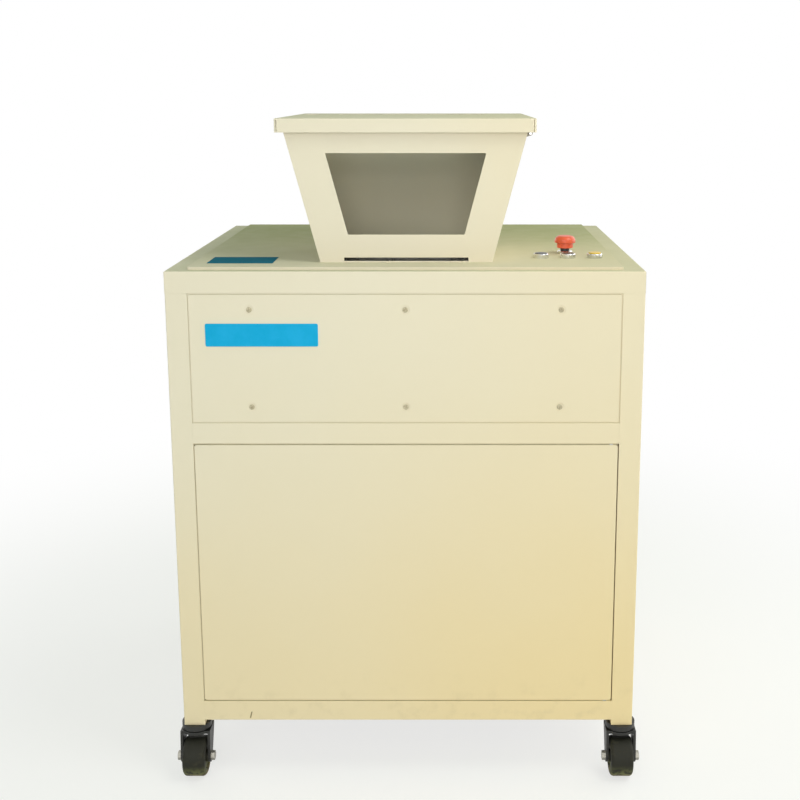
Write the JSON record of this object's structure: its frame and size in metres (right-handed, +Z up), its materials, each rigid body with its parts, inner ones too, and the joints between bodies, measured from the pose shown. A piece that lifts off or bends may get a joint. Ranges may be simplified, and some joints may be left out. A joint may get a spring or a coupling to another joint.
{
  "type": "funnel shredder",
  "caption": "Square-tube cabinet shredder on swivel casters with a windowed sheet-metal funnel, hinged slotted lid, push buttons, emergency stop and geared cutter rollers.",
  "frame": {"origin": "on the floor, at the middle of the footprint", "axes": "+Z up, front of the cabinet towards -Y, +X to the right seen from the front"},
  "size_m": [0.891, 0.763, 1.2543],
  "materials": {
    "cream_paint": "satin powder coat",
    "zinc_sheet": "galvanised",
    "bright_steel": "zinc plated",
    "tool_steel": "ground",
    "grey_casting": "as cast, painted",
    "motor_paint": "semi gloss",
    "clear_acrylic": "clear sheet",
    "chrome_trim": "satin chrome",
    "red_plastic": "moulded",
    "black_plastic": "moulded",
    "yellow_plastic": "moulded",
    "grey_enclosure": "moulded",
    "bin_plastic": "moulded",
    "black_caster_paint": "gloss",
    "wheel_rubber": "dusty"
  },
  "bodies": {
    "cabinet": {"frame_posts": "cream_paint", "long_top_rails": "cream_paint", "side_top_rails": "cream_paint", "middle_rails": "cream_paint", "bottom_rails": "cream_paint", "service_panel": "cream_paint", "left_side_panel": "cream_paint", "right_side_panel": "cream_paint", "rear_upper_panel": "cream_paint", "rear_lower_panel": "cream_paint", "top_plate": "cream_paint", "hopper_front": "cream_paint", "hopper_back": "cream_paint", "hopper_left_wall": "cream_paint", "hopper_right_wall": "cream_paint", "panel_strips": "cream_paint", "deck_bearers": "cream_paint", "deck_plate": "cream_paint", "motor_cradle": "cream_paint", "floor_pan": "zinc_sheet", "panel_screws": "bright_steel", "lid_hinge_fixed_leaves": "bright_steel", "lid_hinge_pins": "bright_steel", "door_pivot_pins": "bright_steel", "cutter_tie_rods": "bright_steel", "front_comb": "tool_steel", "rear_comb": "tool_steel", "cutter_side_plates": "tool_steel", "bearing_housings": "grey_casting", "gearbox": "grey_casting", "motor": "motor_paint", "hopper_window": "clear_acrylic", "button_bezels": "chrome_trim", "estop_base": "chrome_trim", "contact_blocks": "black_plastic", "door_catch": "black_plastic", "cable_gland": "black_plastic", "control_box": "grey_enclosure", "waste_bin": "bin_plastic", "caster_heads": "black_caster_paint"},
    "lid": {"hopper_lid": "cream_paint", "lid_hinge_moving_leaves": "bright_steel"},
    "door": {"door_panel": "cream_paint"},
    "estop_stem": {"estop_stem": "red_plastic"},
    "estop_head": {"estop_head": "red_plastic"},
    "start_button": {"start_button": "black_plastic"},
    "reverse_button": {"reverse_button": "black_plastic"},
    "stop_button": {"stop_button": "yellow_plastic"},
    "rear_roller": {"rear_cutter_roller": "tool_steel", "rear_sync_gear": "tool_steel"},
    "front_roller": {"front_cutter_roller": "tool_steel", "front_sync_gear": "tool_steel"},
    "front_left_caster": {"front_left_fork": "black_caster_paint"},
    "front_left_wheel": {"front_left_wheel": "wheel_rubber"},
    "front_right_caster": {"front_right_fork": "black_caster_paint"},
    "front_right_wheel": {"front_right_wheel": "wheel_rubber"},
    "rear_left_caster": {"rear_left_fork": "black_caster_paint"},
    "rear_left_wheel": {"rear_left_wheel": "wheel_rubber"},
    "rear_right_caster": {"rear_right_fork": "black_caster_paint"},
    "rear_right_wheel": {"rear_right_wheel": "wheel_rubber"}
  },
  "joints": [
    {"name": "lid_hinge", "type": "hinge", "parent": "cabinet", "child": "lid", "pos_m": [0.231, 0, 1.2243], "axis": [0, 1, 0], "range_deg": [0, 105]},
    {"name": "door_hinge", "type": "hinge", "parent": "cabinet", "child": "door", "pos_m": [0.376, -0.344, 0.411], "axis": [0, 0, 1], "range_deg": [0, 110]},
    {"name": "estop_push", "type": "slide", "parent": "cabinet", "child": "estop_stem", "axis": [0, 0, -1], "range_m": [0, 0.004], "stiffness_N_per_m": 600, "springref_m": -0.004},
    {"name": "estop_twist", "type": "hinge", "parent": "estop_stem", "child": "estop_head", "pos_m": [0.3036, -0.158, 1.02], "axis": [0, 0, 1], "range_deg": [0, 45], "stiffness_Nm_per_rad": 0.2},
    {"name": "start_button_press", "type": "slide", "parent": "cabinet", "child": "start_button", "axis": [0, 0, -1], "range_m": [0, 0.003], "stiffness_N_per_m": 600, "springref_m": -0.002},
    {"name": "reverse_button_press", "type": "slide", "parent": "cabinet", "child": "reverse_button", "axis": [0, 0, -1], "range_m": [0, 0.003], "stiffness_N_per_m": 600, "springref_m": -0.002},
    {"name": "stop_button_press", "type": "slide", "parent": "cabinet", "child": "stop_button", "axis": [0, 0, -1], "range_m": [0, 0.003], "stiffness_N_per_m": 600, "springref_m": -0.002},
    {"name": "rear_roller_spin", "type": "hinge", "parent": "cabinet", "child": "rear_roller", "pos_m": [0, -0.134, 0.885], "axis": [1, 0, 0], "continuous": true},
    {"name": "front_roller_spin", "type": "hinge", "parent": "cabinet", "child": "front_roller", "pos_m": [0, -0.224, 0.885], "axis": [1, 0, 0], "continuous": true},
    {"name": "front_left_swivel", "type": "hinge", "parent": "cabinet", "child": "front_left_caster", "pos_m": [-0.41, -0.33, 0.08], "axis": [0, 0, 1], "continuous": true},
    {"name": "front_left_roll", "type": "hinge", "parent": "front_left_caster", "child": "front_left_wheel", "pos_m": [-0.41, -0.344, 0.0375], "axis": [1, 0, 0], "continuous": true},
    {"name": "front_right_swivel", "type": "hinge", "parent": "cabinet", "child": "front_right_caster", "pos_m": [0.41, -0.33, 0.08], "axis": [0, 0, 1], "continuous": true},
    {"name": "front_right_roll", "type": "hinge", "parent": "front_right_caster", "child": "front_right_wheel", "pos_m": [0.41, -0.344, 0.0375], "axis": [1, 0, 0], "continuous": true},
    {"name": "rear_left_swivel", "type": "hinge", "parent": "cabinet", "child": "rear_left_caster", "pos_m": [-0.41, 0.33, 0.08], "axis": [0, 0, 1], "continuous": true},
    {"name": "rear_left_roll", "type": "hinge", "parent": "rear_left_caster", "child": "rear_left_wheel", "pos_m": [-0.41, 0.344, 0.0375], "axis": [1, 0, 0], "continuous": true},
    {"name": "rear_right_swivel", "type": "hinge", "parent": "cabinet", "child": "rear_right_caster", "pos_m": [0.41, 0.33, 0.08], "axis": [0, 0, 1], "continuous": true},
    {"name": "rear_right_roll", "type": "hinge", "parent": "rear_right_caster", "child": "rear_right_wheel", "pos_m": [0.41, 0.344, 0.0375], "axis": [1, 0, 0], "continuous": true}
  ],
  "couplings": [
    {"joint": "front_roller_spin", "follows": "rear_roller_spin", "ratio": -1}
  ]
}
